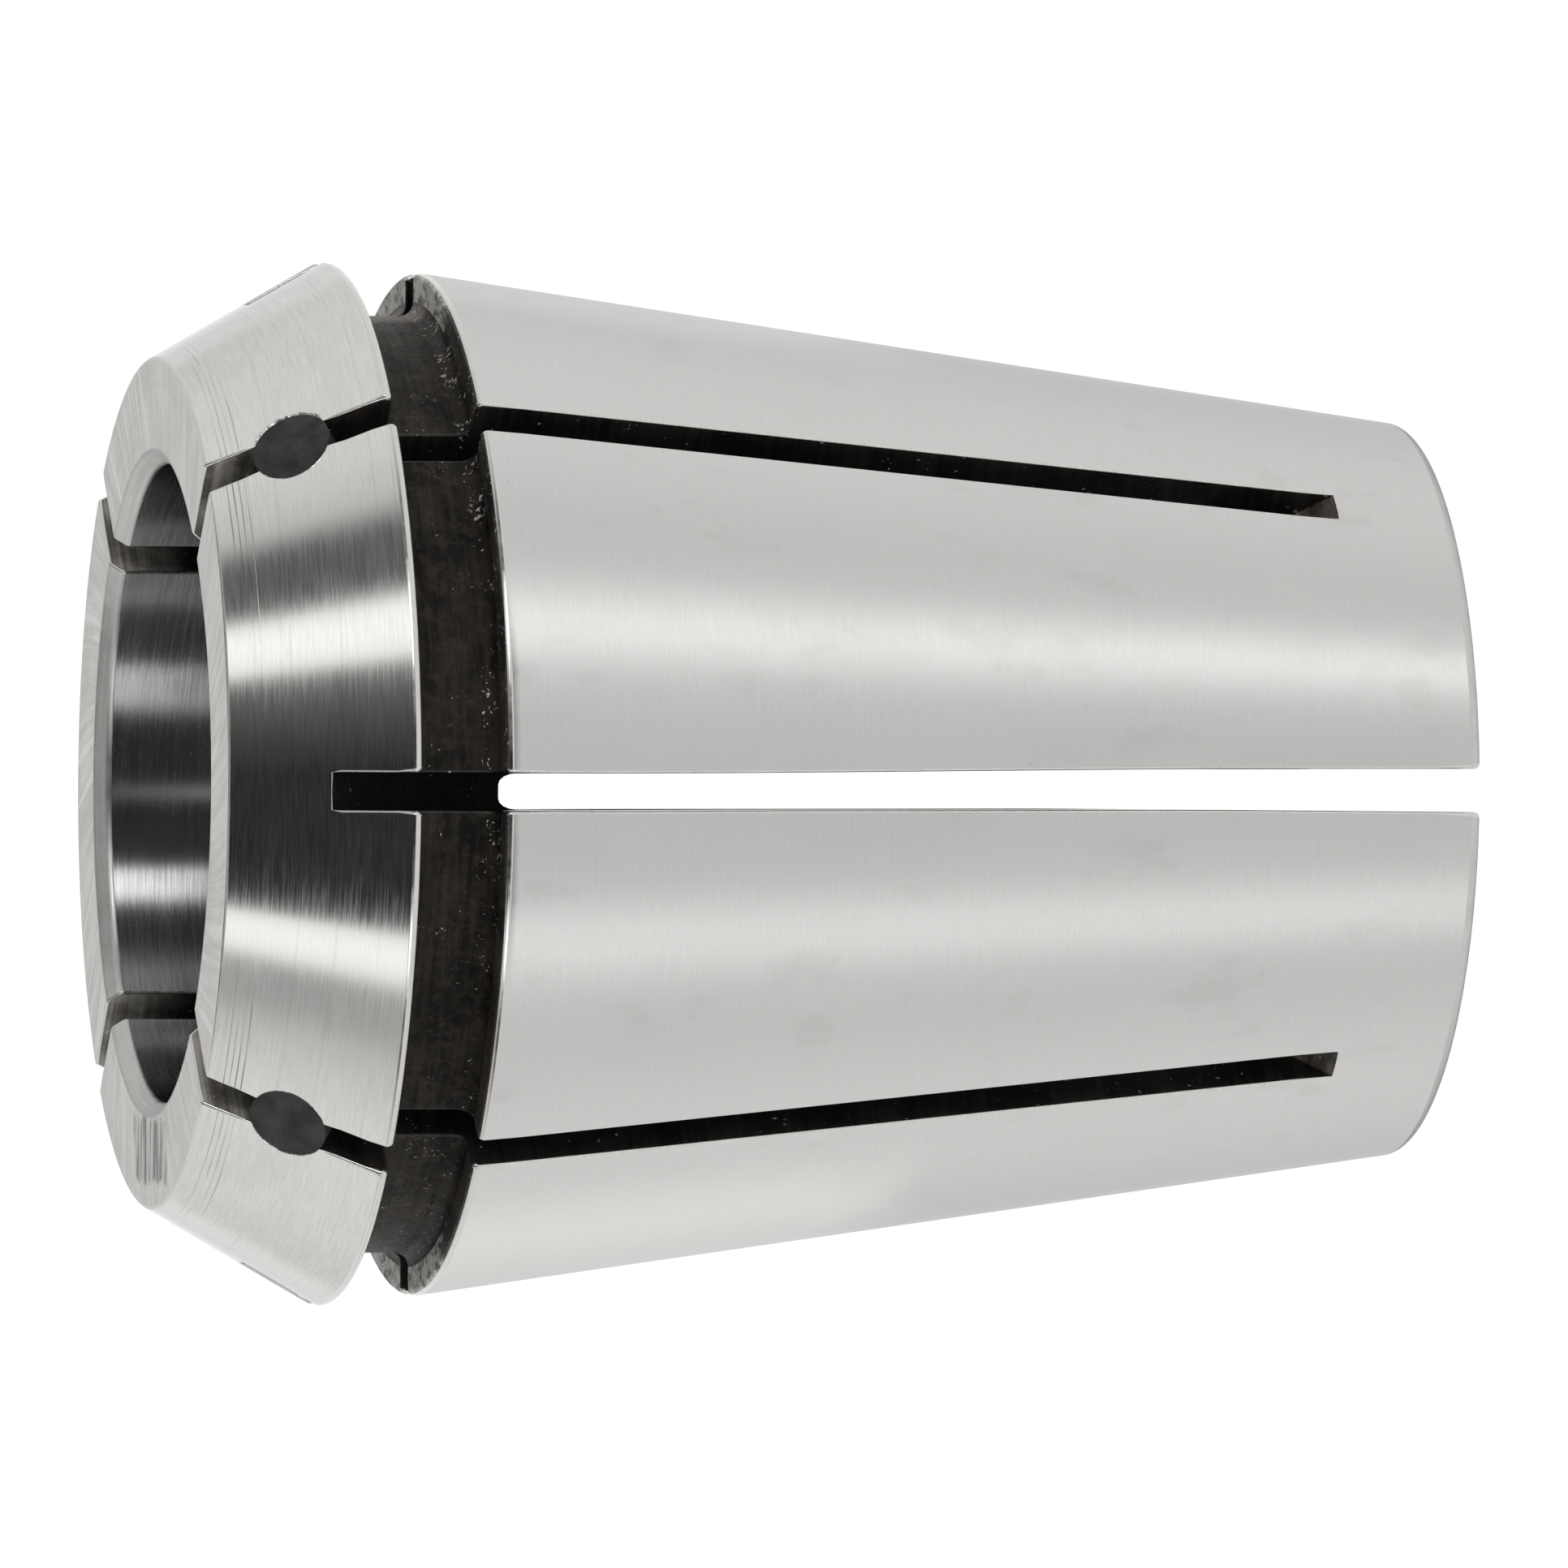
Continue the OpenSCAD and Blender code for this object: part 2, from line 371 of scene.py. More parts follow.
def slot_side(is_f, opened, shut, H, E, j_out, j_in):
    """Everything of one slot on one side of its middle plane."""
    half = (W_F if is_f else W_R) / 2

    def at(j, off, depth=0.0):
        r, z = R[j] - depth * row_n[j][0], Z[j] - depth * row_n[j][1]
        return (math.sqrt(max(0.0, r * r - off * off)), off, z)

    # rounded edge
    for j, k in zip(opened[:-1], opened[1:]):
        tag, n0, n1 = spans[j]
        for s in range(NE):
            pts, nn = [], []
            for row, nor, ss in ((j, n0, s), (k, n1, s), (k, n1, s + 1), (j, n0, s + 1)):
                b = math.pi / 2 * ss / NE
                e = E[row]
                p = at(row, H[row] + e - e * math.sin(b), e - e * math.cos(b))
                a = math.atan2(p[1], p[0])
                surf = np.array([nor[0] * math.cos(a), nor[0] * math.sin(a), nor[1]])
                m = math.cos(b) * surf + math.sin(b) * np.array([0, -1.0, 0])
                m /= np.linalg.norm(m)
                pts.append(turn(p, is_f))
                nn.append(turn(m, is_f))
            quad(*pts, *nn, "slot" if tag.startswith("groove") else "edge")
    # bottom of the cut: the saw's round run-out, its corners rounded near the bore
    NS = 26
    ts = [half * (1 - c / NB) for c in range(NB + 1)]
    ts[1:1] = [half - D_R * 0.12, half - D_R * 0.35]
    ts = sorted(set(ts), reverse=True)

    grid = [[cut_bottom(is_f, i / NS, t) for t in ts] for i in range(NS + 1)]
    for i in range(NS):
        for c in range(len(ts) - 1):
            q = [grid[i][c], grid[i + 1][c], grid[i + 1][c + 1], grid[i][c + 1]]
            quad(*[turn(p, is_f) for p, _ in q], *[turn(m, is_f) for _, m in q], "runout" if is_f else "pit")
    # bridge across the closed part
    for j, k in zip(shut[:-1], shut[1:]):
        tag, n0, n1 = spans[j]
        for c in range(len(ts) - 1):
            pts, nn = [], []
            for row, nor, cc in ((j, n0, c), (k, n1, c), (k, n1, c + 1), (j, n0, c + 1)):
                t = ts[cc]
                if row == j_out:
                    p = grid[0][cc][0]
                elif row == j_in:
                    p = grid[NS][cc][0]
                else:
                    p = at(row, t)
                a = math.atan2(p[1], p[0])
                pts.append(turn(p, is_f))
                nn.append(turn((nor[0] * math.cos(a), nor[0] * math.sin(a), nor[1]), is_f))
            quad(*pts, *nn, MAT_OF[tag])
    # flat wall of the slot
    side = [at(j, H[j], E[j]) for j in opened]
    curve = [grid[i][0][0] for i in range(1, NS)]           # outer surface to bore
    loops = []
    if is_f:
        # opened runs bore end -> front face -> taper end
        a, b = opened.index(j_hi[-1]), opened.index(j_hi[0])
        c, d = opened.index(j_ho[0]), opened.index(j_ho[-1])
        loops.append(side[b:c + 1])
        loops.append(side[d:] + curve + side[:a + 1])
    else:
        loops.append(side + curve[::-1])
    for loop in loops:
        flat = [Vector((p[0], p[2], 0.0)) for p in loop]
        for tri in tessellate_polygon([flat]):
            p = [loop[i] for i in tri]
            area = (p[1][0] - p[0][0]) * (p[2][2] - p[0][2]) - (p[2][0] - p[0][0]) * (p[1][2] - p[0][2])
            if area < 0:
                p.reverse()
            # seen from the slot's middle plane
            pts = [turn(q, is_f) for q in (p if not is_f else p[::-1])]
            face(pts, [turn((0, -1.0, 0), is_f)] * 3, "slot")
    if is_f:
        for i in range(len(HOLE_A) - 1):
            q = [hole_out[i], hole_in[i], hole_in[i + 1], hole_out[i + 1]]
            nn = []
            for a in (HOLE_A[i], HOLE_A[i], HOLE_A[i + 1], HOLE_A[i + 1]):
                nn.append(turn((-math.sin(a) * S30, -math.cos(a), math.sin(a) * C30), True))
            quad(*[turn(p, True) for p in q], *nn, "slot")


slot_side(False, open_r, shut_r, H_R, E_R, j_ro, j_ri)
slot_side(True, open_f, shut_f, H_F, E_F, j_fo, j_fi)

V, NRM = np.array(V, float), np.array(NRM, float)
NRM /= np.linalg.norm(NRM, axis=1)[:, None]
# mirror in the plane of the front slot, then four quarter turns
m = np.array([[0, 1.0, 0], [1.0, 0, 0], [0, 0, 1.0]])
all_v, all_n, all_f, all_m = [], [], [], []
for q in range(4):
    c, s = [(1, 0), (0, 1), (-1, 0), (0, -1)][q]
    rot = np.array([[c, -s, 0], [s, c, 0], [0, 0, 1.0]])
    for mir in (False, True):
        base = sum(len(x) for x in all_v)
        vv, nn = (V @ m.T, NRM @ m.T) if mir else (V, NRM)
        all_v.append(vv @ rot.T)
        all_n.append(nn @ rot.T)
        for f, k in zip(F, FM):
            g = tuple(i + base for i in f)
            all_f.append(g[::-1] if mir else g)
            all_m.append(k)
V, NRM = np.concatenate(all_v), np.concatenate(all_n)
key = np.floor(V / 2e-5 + 0.37).astype(np.int64)
_, first, inverse = np.unique(key, axis=0, return_index=True, return_inverse=True)
inverse = inverse.ravel()
faces, loop_n, mats = [], [], []
for f, k in zip(all_f, all_m):
    ids = [int(inverse[i]) for i in f]
    keep = [i for i in range(len(ids)) if ids[i] != ids[i - 1]]
    if len(keep) < 3:
        continue
    ids2 = [ids[i] for i in keep]
    if len(set(ids2)) < 3:
        continue
    faces.append(ids2)
    loop_n.extend(NRM[f[i]] for i in keep)
    mats.append(k)


def make_mesh(name, verts, faces, loop_normals=None, mats=None, smooth=True):
    me = bpy.data.meshes.new(name)
    me.from_pydata([tuple(x * 0.001 for x in v) for v in verts], [], faces)
    if mats is not None:
        me.polygons.foreach_set("material_index", np.array(mats, np.int32))
    me.polygons.foreach_set("use_smooth", np.full(len(me.polygons), smooth))
    if loop_normals is not None:
        me.normals_split_custom_set([tuple(n) for n in loop_normals])
    me.update()
    ob = bpy.data.objects.new(name, me)
    S.collection.objects.link(ob)
    return ob



def ring_noise(seed, count, terms):
    rng = np.random.default_rng(seed)
    out = np.zeros(count)
    for k, amp in terms:
        out += amp * np.cos(k * np.arange(count) * 2 * math.pi / count + rng.uniform(0, 2 * math.pi))
    return out


def on_cone(a, rad):
    def g(d):
        x, t, z = hole_point(a, d, rad)
        return math.hypot(x, t) - cone_r(L - z)
    return solve(g, -1.0, 1.0)


# ragged burr that the drill has raised round each hole, one bead on each side
# of the slot
verts = [tuple(v) for v in V[first]]
BEAD = 72
for h, deg in enumerate((-45, -135, 45, 135)):
    ca, sa = math.cos(math.radians(deg)), math.sin(math.radians(deg))
    for side in (0, 1):
        seed = 200 + 2 * h + side
        wide = ring_noise(seed, BEAD * 3, [(5, 0.005), (11, 0.005), (23, 0.004), (47, 0.004)])
        tall = ring_noise(seed + 40, BEAD * 3, [(4, 0.004), (13, 0.004), (29, 0.004), (61, 0.003)])
        base = len(verts)
        middle = math.radians(180 * side)
        reach = HOLE_A0 - math.radians(3.5)
        size = 2.4 if (deg, side) == (-45, 0) else 1.0 if (deg < -90) == (side == 1) else 0.3
        for i in range(BEAD + 1):
            a = middle + reach * (2 * i / BEAD - 1)
            end = ease(min(i, BEAD - i) / 5.0)
            w, t = 0.6 + 0.4 * end, max(0.25, end)
            ring = [(PLUG_R + 0.001, -0.03), (PLUG_R + 0.004, 0.004), (PLUG_R + 0.006 + size * (0.020 * w + 0.5 * wide[i]), (0.004 + size * (0.016 + tall[i])) * t),
                    (PLUG_R + 0.016 + size * (0.052 * w + 1.6 * wide[i]), -0.003), (PLUG_R + 0.03, -0.03)]
            for rad, up in ring:
                x, tt, z = hole_point(a, on_cone(a, rad) + up, rad)
                verts.append((x * ca - tt * sa, x * sa + tt * ca, z))
        bead = []
        for i in range(BEAD):
            for c in range(5):
                d = (c + 1) % 5
                bead.append([base + i * 5 + c, base + (i + 1) * 5 + c, base + (i + 1) * 5 + d, base + i * 5 + d])
        bead.append([base + c for c in range(5)])
        bead.append([base + BEAD * 5 + c for c in range(4, -1, -1)])
        vol = 0.0
        for f in bead:
            for i in range(1, len(f) - 1):
                vol += np.dot(verts[f[0]], np.cross(verts[f[i]], verts[f[i + 1]]))
        for f in bead:
            f = f if vol > 0 else f[::-1]
            n = np.zeros(3)
            for i in range(1, len(f) - 1):
                n += np.cross(np.subtract(verts[f[i]], verts[f[0]]), np.subtract(verts[f[i + 1]], verts[f[0]]))
            n /= np.linalg.norm(n)
            faces.append(f)
            loop_n.extend([n] * len(f))
            mats.append(MATS.index("edge"))

# rounded lip across the closed end of each rear slot
LIP = [(-0.022, -0.050), (-0.020, -0.026), (-0.014, -0.011), (-0.004, -0.002), (0.008, 0.002), (0.024, -0.012), (0.010, -0.050)]
for h in range(4):
    ca, sa = math.cos(math.radians(90 * h)), math.sin(math.radians(90 * h))
    base, steps = len(verts), 12
    for i in range(steps + 1):
        t = W_R * (i / steps - 0.5) * 0.998
        p = cut_bottom(False, 0, abs(t))[0]
        rr = math.hypot(p[0], t)
        nn, ss = (C30 * p[0] / rr, C30 * t / rr, S30), (-S30 * p[0] / rr, -S30 * t / rr, C30)
        thick = 0.42 + 0.5 * abs(2 * i / steps - 1) ** 1.5
        for a, b in LIP:
            q = [(p[0], t, p[2])[k] + ss[k] * a * thick + nn[k] * (b if b < -0.03 else b * thick) for k in range(3)]
            verts.append((q[0] * ca - q[1] * sa, q[0] * sa + q[1] * ca, q[2]))
    lip_n = len(LIP)
    lip = [[base + i * lip_n + c, base + (i + 1) * lip_n + c, base + (i + 1) * lip_n + (c + 1) % lip_n, base + i * lip_n + (c + 1) % lip_n]
           for i in range(steps) for c in range(lip_n)]
    lip.append([base + c for c in range(lip_n)])
    lip.append([base + steps * lip_n + c for c in range(lip_n - 1, -1, -1)])
    vol = sum(np.dot(verts[f[0]], np.cross(verts[f[i]], verts[f[i + 1]])) for f in lip for i in range(1, len(f) - 1))
    for f in lip:
        f = f if vol > 0 else f[::-1]
        n = sum(np.cross(np.subtract(verts[f[i]], verts[f[0]]), np.subtract(verts[f[i + 1]], verts[f[0]])) for i in range(1, len(f) - 1))
        n = n / np.linalg.norm(n)
        faces.append(f)
        loop_n.extend([n] * len(f))
        mats.append(MATS.index("edge"))

# three of the saw cuts wander a little: their edges slide round the axis, the
# round surfaces stay where they are
pts = np.array(verts, float)
phi, rad = np.arctan2(pts[:, 1], pts[:, 0]), np.hypot(pts[:, 0], pts[:, 1])
along = np.clip((pts[:, 2] - 9.0) / 19.5, 0.0, 1.0)
for at, slide in ((-90.0, -0.175 * along), (90.0, 0.07 + 0.19 * along), (-45.0, 0.36 * np.clip((35.0 - pts[:, 2]) / 31.0, 0.0, 1.0))):
    away = np.abs((np.degrees(phi) - at + 180.0) % 360.0 - 180.0)
    k = np.clip((away - 7.0) / 13.0, 0.0, 1.0)
    phi = phi + (1.0 - k * k * (3.0 - 2.0 * k)) * slide / rad
verts = np.stack([rad * np.cos(phi), rad * np.sin(phi), pts[:, 2]], axis=1)

body = make_mesh("collet_body_ground", verts, faces, loop_n, mats)

# --------------------------------------------------------------- the plugs
# A soft rubber stud pressed into each hole. Its top follows the cone, stands
# up a few hundredths of a millimetre in the middle, and has a torn skin round
# its rim that laps a little over the steel.
PLUG_INNER = BORE + 0.5


def plug_mesh(name, angle, seed):
    n = 160
    rag = ring_noise(seed, n, [(3, 0.004), (9, 0.004), (17, 0.004), (29, 0.005), (43, 0.005), (61, 0.004)])
    lump = ring_noise(seed + 50, n, [(2, 0.004), (5, 0.003), (9, 0.002)])
    rings = []
    for f in (0.06, 0.2, 0.36, 0.52, 0.66, 0.78, 0.87, 0.94):
        rings.append((np.full(n, PLUG_R * f), 0.035 * (1 - f * f) + 0.012 + lump * f, True))
    lip = PLUG_R + 0.010 + rag
    rings.append((lip - 0.02, np.full(n, 0.011), True))
    rings.append((lip, np.full(n, 0.004), True))
    rings.append((np.full(n, PLUG_R - 0.004), np.full(n, -0.004), True))
    for depth in (0.12, 0.6, 1.6, 2.8, 3.9):
        rings.append((np.full(n, PLUG_R - 0.004), -np.full(n, depth), False))
    verts, fs = [], []
    ang = np.arange(n) * 2 * math.pi / n
    ca, sa = math.cos(angle), math.sin(angle)

    def place(a, d, rad):
        x, t, z = hole_point(a, d, rad)
        return (x * ca - t * sa, x * sa + t * ca, z)

    def on_inner(a, rad):
        def g(d):
            x, t, z = hole_point(a, d, rad)
            return math.hypot(x, t) - PLUG_INNER
        return solve(g, -9.0, -1.0)
    for rad, up, _ in rings:
        for i in range(n):
            a = float(ang[i])
            verts.append(place(a, on_cone(a, float(rad[i])) + float(up[i]), float(rad[i])))
    for f in (1.0, 0.9, 0.6, 0.3):
        for i in range(n):
            a, rad = float(ang[i]), (PLUG_R - 0.004) * f
            verts.append(place(a, on_inner(a, rad) + (0.0 if f < 1 else 0.04), rad))
    total = len(rings) + 4
    for k in range(total - 1):
        for i in range(n):
            j = (i + 1) % n
            fs.append((k * n + i, k * n + j, (k + 1) * n + j, (k + 1) * n + i))
    top, end = len(verts), len(verts) + 1
    verts.append(place(0.0, on_cone(0.0, 0.0) + 0.047, 0.0))
    verts.append(place(0.0, on_inner(0.0, 0.0), 0.0))
    for i in range(n):
        j = (i + 1) % n
        fs.append((top, j, i))
        fs.append((end, (total - 1) * n + i, (total - 1) * n + j))
    # every face looks outwards
    v = np.array(verts)
    vol = sum(np.dot(v[f[0]], np.cross(v[f[i]], v[f[i + 1]])) for f in fs for i in range(1, len(f) - 1))
    if vol < 0:
        fs = [f[::-1] for f in fs]
    return make_mesh(name, verts, fs)


plugs = []
for k, deg in enumerate((-45, -135, 45, 135)):
    plugs.append(plug_mesh("seal_plug_%d_rubber" % (k + 1), math.radians(deg), 11 + k))

# ---------------------------------------------------------------- materials


class Graph:
    """short names for the nodes that the materials share"""

    def __init__(self, name):
        self.mat = bpy.data.materials.new(name)
        self.mat.use_nodes = True
        self.t = self.mat.node_tree
        self.t.nodes.clear()
        self.out = self.t.nodes.new("ShaderNodeOutputMaterial")
        self.bsdf = self.t.nodes.new("ShaderNodeBsdfPrincipled")
        self.t.links.new(self.bsdf.outputs[0], self.out.inputs[0])
        tc = self.t.nodes.new("ShaderNodeTexCoord")
        mm = self.t.nodes.new("ShaderNodeVectorMath")
        mm.operation = "SCALE"
        mm.inputs["Scale"].default_value = 1000.0
        self.t.links.new(tc.outputs["Object"], mm.inputs[0])
        self.p = mm.outputs[0]
        sep = self.t.nodes.new("ShaderNodeSeparateXYZ")
        self.t.links.new(self.p, sep.inputs[0])
        self.x, self.y, self.z = sep.outputs
        self.r = self.m("SQRT", self.m("ADD", self.m("MULTIPLY", self.x, self.x), self.m("MULTIPLY", self.y, self.y)))
        self.ux, self.uy = self.m("DIVIDE", self.x, self.r), self.m("DIVIDE", self.y, self.r)

    def put(self, sock, val):
        if isinstance(val, bpy.types.NodeSocket):
            self.t.links.new(val, sock)
        else:
            sock.default_value = val

    def m(self, op, a, b=None, c=None, clamp=False):
        n = self.t.nodes.new("ShaderNodeMath")
        n.operation = op
        n.use_clamp = clamp
        for i, v in enumerate((a, b, c)):
            if v is not None:
                self.put(n.inputs[i], v)
        return n.outputs[0]

    def vec(self, x, y, z):
        n = self.t.nodes.new("ShaderNodeCombineXYZ")
        for i, v in enumerate((x, y, z)):
            self.put(n.inputs[i], v)
        return n.outputs[0]

    def noise(self, vec, scale=1.0, detail=2.0, rough=0.5, dist=0.0):
        n = self.t.nodes.new("ShaderNodeTexNoise")
        self.put(n.inputs["Vector"], vec)
        n.inputs["Scale"].default_value = scale
        n.inputs["Detail"].default_value = detail
        n.inputs["Roughness"].default_value = rough
        n.inputs["Distortion"].default_value = dist
        return n.outputs["Fac"]

    def around(self, a, b, seed=0.0, slope=0.0, detail=2.0, rough=0.55, flat=False):
        """noise drawn out round the axis: a is how fast it changes round it, b along it (or outwards on a flat face)"""
        along = self.r if flat else self.z
        if slope:
            along = self.m("ADD", along, self.m("MULTIPLY", self.x, slope))
        v = self.vec(self.m("MULTIPLY_ADD", self.ux, a, seed), self.m("MULTIPLY_ADD", self.uy, a, seed * 0.37), self.m("MULTIPLY_ADD", along, b, seed * 1.7))
        return self.noise(v, 1.0, detail, rough)

    def fit(self, val, lo, hi, to_lo, to_hi, smooth=True):
        n = self.t.nodes.new("ShaderNodeMapRange")
        n.interpolation_type = "SMOOTHSTEP" if smooth else "LINEAR"
        n.clamp = True
        self.put(n.inputs["Value"], val)
        for k, v in (("From Min", lo), ("From Max", hi), ("To Min", to_lo), ("To Max", to_hi)):
            n.inputs[k].default_value = v
        return n.outputs["Result"]

    def mix(self, fac, a, b):
        n = self.t.nodes.new("ShaderNodeMix")
        n.data_type = "RGBA"
        self.put(n.inputs["Factor"], fac)
        for sock, v in ((n.inputs[6], a), (n.inputs[7], b)):
            self.put(sock, v if isinstance(v, bpy.types.NodeSocket) else (*v, 1.0))
        return n.outputs[2]

    def bump(self, height, dist, strength=1.0, normal=None):
        n = self.t.nodes.new("ShaderNodeBump")
        n.inputs["Distance"].default_value = dist
        n.inputs["Strength"].default_value = strength
        self.put(n.inputs["Height"], height)
        if normal is not None:
            self.put(n.inputs["Normal"], normal)
        return n.outputs[0]

    def tangent(self):
        n = self.t.nodes.new("ShaderNodeTangent")
        n.direction_type = "RADIAL"
        n.axis = "Z"
        return n.outputs[0]

    def set(self, **kw):
        names = {"color": "Base Color", "metal": "Metallic", "rough": "Roughness", "normal": "Normal", "aniso": "Anisotropic",
                 "turn": "Anisotropic Rotation", "tangent": "Tangent", "spec": "Specular IOR Level", "ior": "IOR", "tint": "Specular Tint"}
        for k, v in kw.items():
            sock = self.bsdf.inputs[names[k]]
            if isinstance(v, tuple):
                v = (*v, 1.0)
            self.put(sock, v)
        return self.mat


STEEL_LO, STEEL_HI = (0.56, 0.555, 0.535), (0.66, 0.655, 0.635)


def ground_steel(name, rough, spread, aniso, slope=0.0, fine=20.0, turns=3.0, lo=STEEL_LO, hi=STEEL_HI, depth=0.35e-6, wear_and_painted_light=None, tint=0.8, broad=0.38):
    g = Graph(name)
    fine_n = g.around(turns, fine, 3.1, slope, 2.0, 0.6)
    wide_n = g.around(turns * 0.5, fine * 0.3, 9.4, slope * 0.6, 3.0, 0.6)
    cloud = g.noise(g.p, 0.22, 3.0, 0.55)
    mixed = g.m("ADD", g.m("MULTIPLY", fine_n, 1.0 - broad), g.m("MULTIPLY", wide_n, broad))
    fac = g.fit(g.m("ADD", g.m("MULTIPLY", mixed, 0.7), g.m("MULTIPLY", cloud, 0.3)), 0.34, 0.66, 0.0, 1.0)
    col = g.mix(fac, lo, hi)
    ro = g.m("ADD", g.fit(mixed, 0.36, 0.64, rough - spread, rough + spread), g.fit(cloud, 0.35, 0.65, -0.012, 0.012))
    if wear_and_painted_light == "bore":
        # the bore is duller and browner away from its front end, partly its own dull finish and partly
        # painted shade deep in the hole; the painted shade reaches further up round one half of it
        edge_z = g.m("ADD", g.m("ADD", g.z, g.m("MULTIPLY", wide_n, 1.2)), g.fit(g.uy, -0.35, 0.25, -4.2, 0.0))
        deep_dull_and_shade = g.fit(edge_z, 35.4, 36.9, 1.0, 0.0)
        rear = g.fit(g.z, 1.0, 4.0, 0.0, 1.0)
        stain = g.noise(g.vec(g.m("MULTIPLY", g.x, 1.3), g.m("MULTIPLY", g.y, 1.3), g.m("MULTIPLY", g.z, 0.12)), 1.0, 3.0, 0.6)
        dull_and_shaded_tone = g.mix(g.fit(stain, 0.35, 0.65, 0.0, 1.0), (0.035, 0.034, 0.033), (0.095, 0.083, 0.072))
        # painted shade: the bore is painted darker in bands round +X and -X, and more lightly round +Y and -Y
        col = g.mix(g.fit(g.m("ABSOLUTE", g.ux), 0.70, 0.86, 0.0, 0.75), col, (0.105, 0.103, 0.10))
        col = g.mix(g.fit(g.m("ABSOLUTE", g.ux), 0.20, 0.42, 0.5, 0.0), col, (0.30, 0.285, 0.265))
        col = g.mix(g.m("MULTIPLY", deep_dull_and_shade, rear), col, dull_and_shaded_tone)
    if wear_and_painted_light == "nut":
        # rings that the nut has rubbed near the front edge, on both sides of
        # each slot, and a few long hairlines further back
        zf = g.m("SUBTRACT", L, g.z)
        band = g.m("MULTIPLY", g.fit(zf, 0.42, 0.5, 0.0, 1.0), g.fit(zf, 1.05, 1.16, 1.0, 0.0))
        wob = g.around(2.2, 1.2, 21.0, 0.0, 1.0, 0.4)
        line = g.fit(g.m("SINE", g.m("MULTIPLY_ADD", zf, 37.0, g.m("MULTIPLY", wob, 4.0))), 0.62, 0.95, 0.0, 1.0)
        side = g.m("ADD", g.m("ABSOLUTE", g.ux), g.m("MULTIPLY", g.m("SUBTRACT", g.around(4.0, 9.0, 33.0, 0.0, 1.0, 0.5), 0.5), 0.5))
        mark = g.m("MULTIPLY", g.m("MULTIPLY", band, line), g.m("MULTIPLY", g.fit(side, 0.46, 0.60, 0.0, 1.0), g.m("MULTIPLY", g.fit(side, 0.70, 0.78, 1.0, 0.55), g.fit(side, 0.88, 0.97, 1.0, 0.1))))
        hair = g.m("MULTIPLY", g.fit(g.around(1.3, 9.0, 61.0, 0.02, 0.0, 0.4), 0.725, 0.74, 0.0, 1.0), 0.1)
        uneven = g.m("MULTIPLY", g.fit(g.around(3.0, 7.0, 84.0, 0.0, 1.0, 0.5), 0.36, 0.54, 0.40, 1.0), g.fit(g.around(9.0, 16.0, 12.0, 0.0, 1.0, 0.5), 0.34, 0.50, 0.55, 1.0))
        mark = g.m("MAXIMUM", g.m("MULTIPLY", mark, uneven), hair)
        col = g.mix(g.m("MULTIPLY", mark, 0.86), col, (0.19, 0.168, 0.152))
        ro = g.m("ADD", ro, g.m("MULTIPLY", mark, 0.06))
        # one scratch that catches the light
        scratch = g.m("MULTIPLY", g.fit(g.m("ABSOLUTE", g.m("SUBTRACT", zf, 1.02)), 0.006, 0.020, 1.0, 0.0), g.m("MULTIPLY", g.fit(g.ux, 0.22, 0.36, 0.0, 1.0), g.fit(g.ux, 0.60, 0.78, 1.0, 0.0)))
        ro = g.m("ADD", ro, g.m("MULTIPLY", scratch, 0.22))
    if wear_and_painted_light == "nicks_and_painted_light":
        smudge = g.noise(g.vec(g.m("MULTIPLY", g.x, 0.5), g.m("MULTIPLY", g.y, 0.5), g.m("MULTIPLY", g.z, 0.3)), 1.0, 4.0, 0.6)
        col = g.mix(g.fit(smudge, 0.56, 0.72, 0.0, 0.35), col, (0.47, 0.465, 0.455))
        # painted highlight: lighter patches on the -Y side, one round -X and one round +X
        soft_z = g.m("ADD", g.z, g.m("MULTIPLY_ADD", g.noise(g.p, 0.30, 0.0, 0.4), 3.0, -1.5))
        near = g.fit(g.y, -2.0, 5.0, 1.0, 0.0)
        painted_glint_low = g.m("MULTIPLY", near, g.m("MULTIPLY", g.fit(g.ux, -0.92, -0.76, 1.0, 0.0), g.fit(g.m("ADD", soft_z, g.m("MULTIPLY", g.ux, -6.0)), 21.4, 25.8, 0.0, 1.0)))
        painted_glint_high = g.m("MULTIPLY", near, g.m("MULTIPLY", g.fit(g.ux, 0.91, 0.985, 0.0, 1.0), g.fit(soft_z, 14.0, 23.0, 0.0, 1.0)))
        col = g.mix(g.m("MAXIMUM", painted_glint_low, painted_glint_high), col, (0.70, 0.695, 0.68))
        col = g.mix(g.m("MULTIPLY", painted_glint_low, 0.3), col, (0.77, 0.765, 0.75))
        # painted dark reflection: a dark band painted on the front edge next to the rear slots
        painted_dark_reflection = g.m("MULTIPLY", g.fit(g.m("ADD", g.z, g.m("MULTIPLY", smudge, 0.25)), Z_TAPER - 0.36, Z_TAPER - 0.04, 0.0, 1.0), g.fit(g.m("ABSOLUTE", g.ux), 0.20, 0.42, 0.75, 0.0))
        col = g.mix(painted_dark_reflection, col, (0.20, 0.195, 0.19))
        dots = g.t.nodes.new("ShaderNodeTexVoronoi")
        dots.inputs["Scale"].default_value = 0.42
        g.put(dots.inputs["Vector"], g.vec(g.m("MULTIPLY", g.x, 1.0), g.m("MULTIPLY", g.y, 1.0), g.m("MULTIPLY", g.z, 1.0)))
        nick = g.fit(dots.outputs["Distance"], 0.012, 0.022, 1.0, 0.0)
        col = g.mix(g.m("MULTIPLY", nick, 0.35), col, (0.30, 0.29, 0.28))
    return g.set(color=col, metal=1.0, rough=ro, aniso=aniso, turn=0.25, tangent=g.tangent(), normal=g.bump(mixed, depth), tint=(tint, tint, tint))


